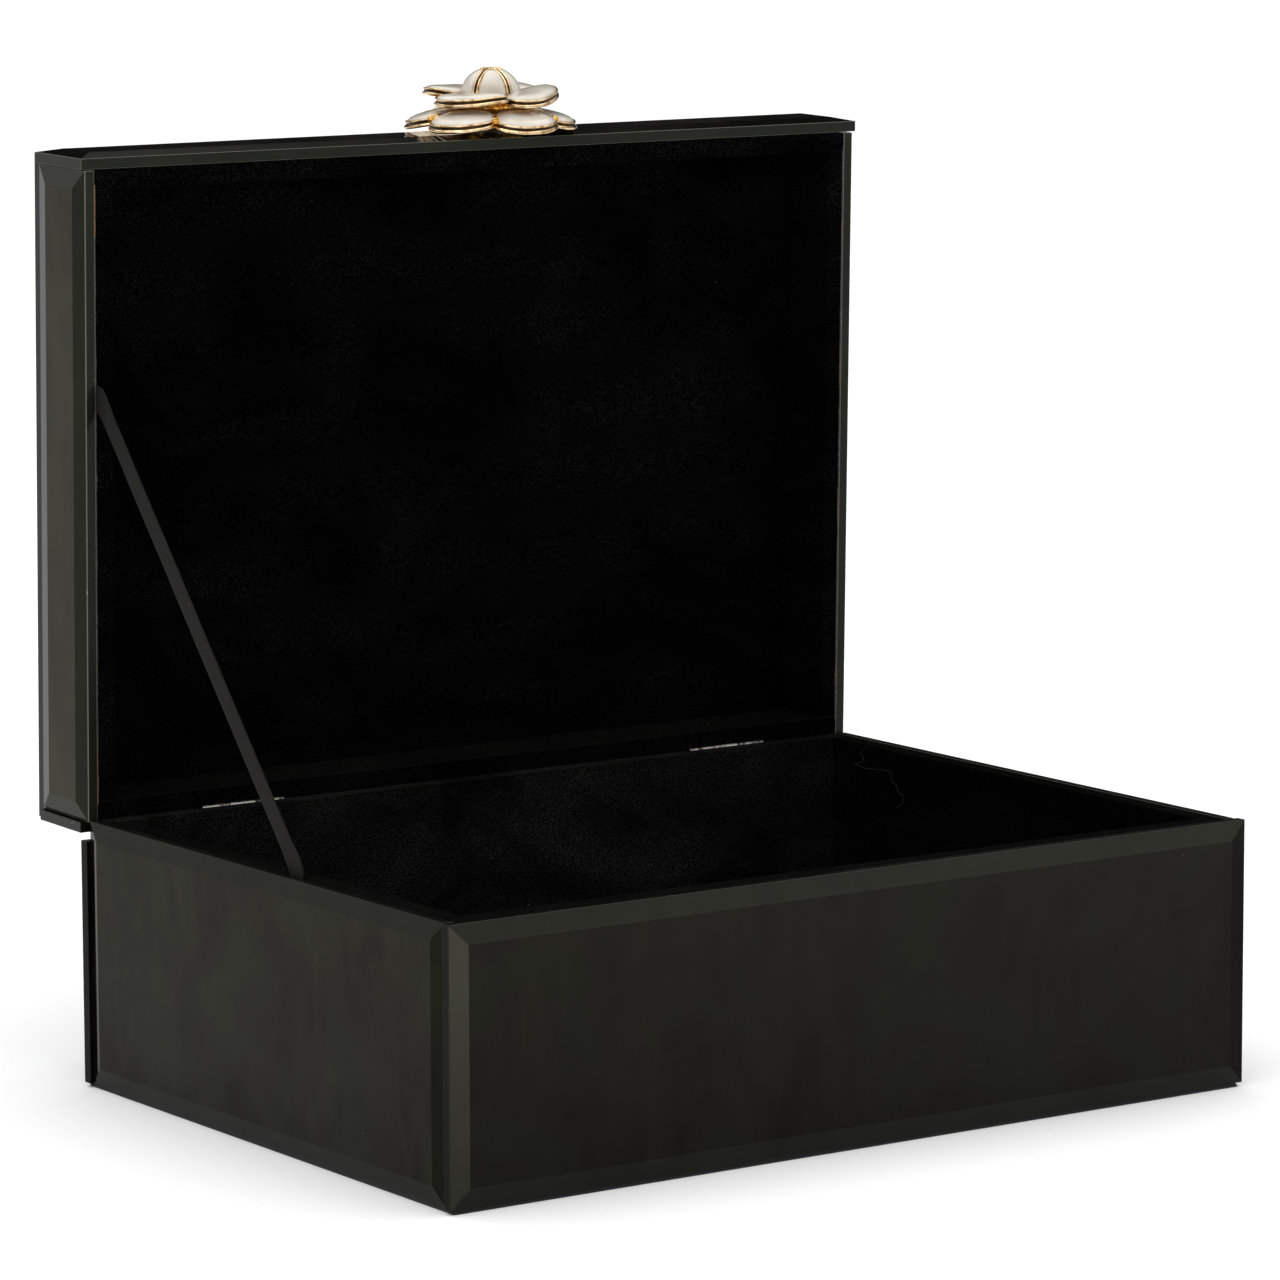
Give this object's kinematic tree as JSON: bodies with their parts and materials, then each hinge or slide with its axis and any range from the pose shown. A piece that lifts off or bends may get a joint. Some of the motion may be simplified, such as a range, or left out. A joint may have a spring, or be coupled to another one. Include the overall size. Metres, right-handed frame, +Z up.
{
  "type": "vanity trinket box",
  "caption": "Low rectangular trinket box with bevelled black glass panels, velvet lining, a hinged lid held by a ribbon stay, and an enamel flower knob.",
  "frame": {"origin": "middle of the felt face that the box rests on", "axes": "+X to the right along the box's width, -Y out of its front, +Z up"},
  "size_m": [0.254, 0.2146, 0.2695],
  "materials": {
    "black_glass": "polished, back-painted black",
    "carcass_board": "fine fibreboard, raw edges",
    "velvet_lining": "short flocked velvet, matt",
    "base_felt": "felt, matt",
    "hinge_nickel": "bright nickel plate",
    "steel_fasteners": "nickel-plated steel, satin",
    "knob_gold": "pale gold plate, polished on the rims and textured in the hollows",
    "petal_enamel": "glossy cream enamel",
    "ribbon": "dark woven ribbon, slight satin"
  },
  "bodies": {
    "base": {"base_bottom_board": "carcass_board", "base_felt": "base_felt", "base_floor_pad": "velvet_lining", "base_front_board": "carcass_board", "base_front_glass": "black_glass", "base_front_lining": "velvet_lining", "base_left_board": "carcass_board", "base_left_glass": "black_glass", "base_left_lining": "velvet_lining", "base_rear_board": "carcass_board", "base_rear_glass": "black_glass", "base_rear_lining": "velvet_lining", "base_right_board": "carcass_board", "base_right_glass": "black_glass", "base_right_lining": "velvet_lining", "hinge_left_base_leaf": "hinge_nickel", "hinge_left_base_screw_1": "steel_fasteners", "hinge_left_base_screw_2": "steel_fasteners", "hinge_left_pin": "hinge_nickel", "hinge_right_base_leaf": "hinge_nickel", "hinge_right_base_screw_1": "steel_fasteners", "hinge_right_base_screw_2": "steel_fasteners", "hinge_right_pin": "hinge_nickel", "ribbon_stay": "ribbon"},
    "lid": {"hinge_left_lid_leaf": "hinge_nickel", "hinge_left_lid_screw_1": "steel_fasteners", "hinge_left_lid_screw_2": "steel_fasteners", "hinge_right_lid_leaf": "hinge_nickel", "hinge_right_lid_screw_1": "steel_fasteners", "hinge_right_lid_screw_2": "steel_fasteners", "knob_bud": "knob_gold", "knob_collar": "knob_gold", "knob_lower_enamel": "petal_enamel", "knob_lower_petals": "knob_gold", "knob_nut": "steel_fasteners", "knob_spacer": "knob_gold", "knob_stud": "steel_fasteners", "knob_upper_enamel": "petal_enamel", "knob_upper_petals": "knob_gold", "knob_washer": "steel_fasteners", "lid_front_board": "carcass_board", "lid_front_glass": "black_glass", "lid_front_lining": "velvet_lining", "lid_left_board": "carcass_board", "lid_left_glass": "black_glass", "lid_left_lining": "velvet_lining", "lid_rear_board": "carcass_board", "lid_rear_glass": "black_glass", "lid_rear_lining": "velvet_lining", "lid_right_board": "carcass_board", "lid_right_glass": "black_glass", "lid_right_lining": "velvet_lining", "lid_top_board": "carcass_board", "lid_top_glass": "black_glass", "lid_top_lining": "velvet_lining"}
  },
  "joints": [
    {"name": "lid_hinge", "type": "hinge", "parent": "base", "child": "lid", "pos_m": [0, 0.08745, 0.0725], "axis": [1, 0, 0], "range_deg": [0, 88.8], "deforming": ["ribbon_stay"]}
  ]
}
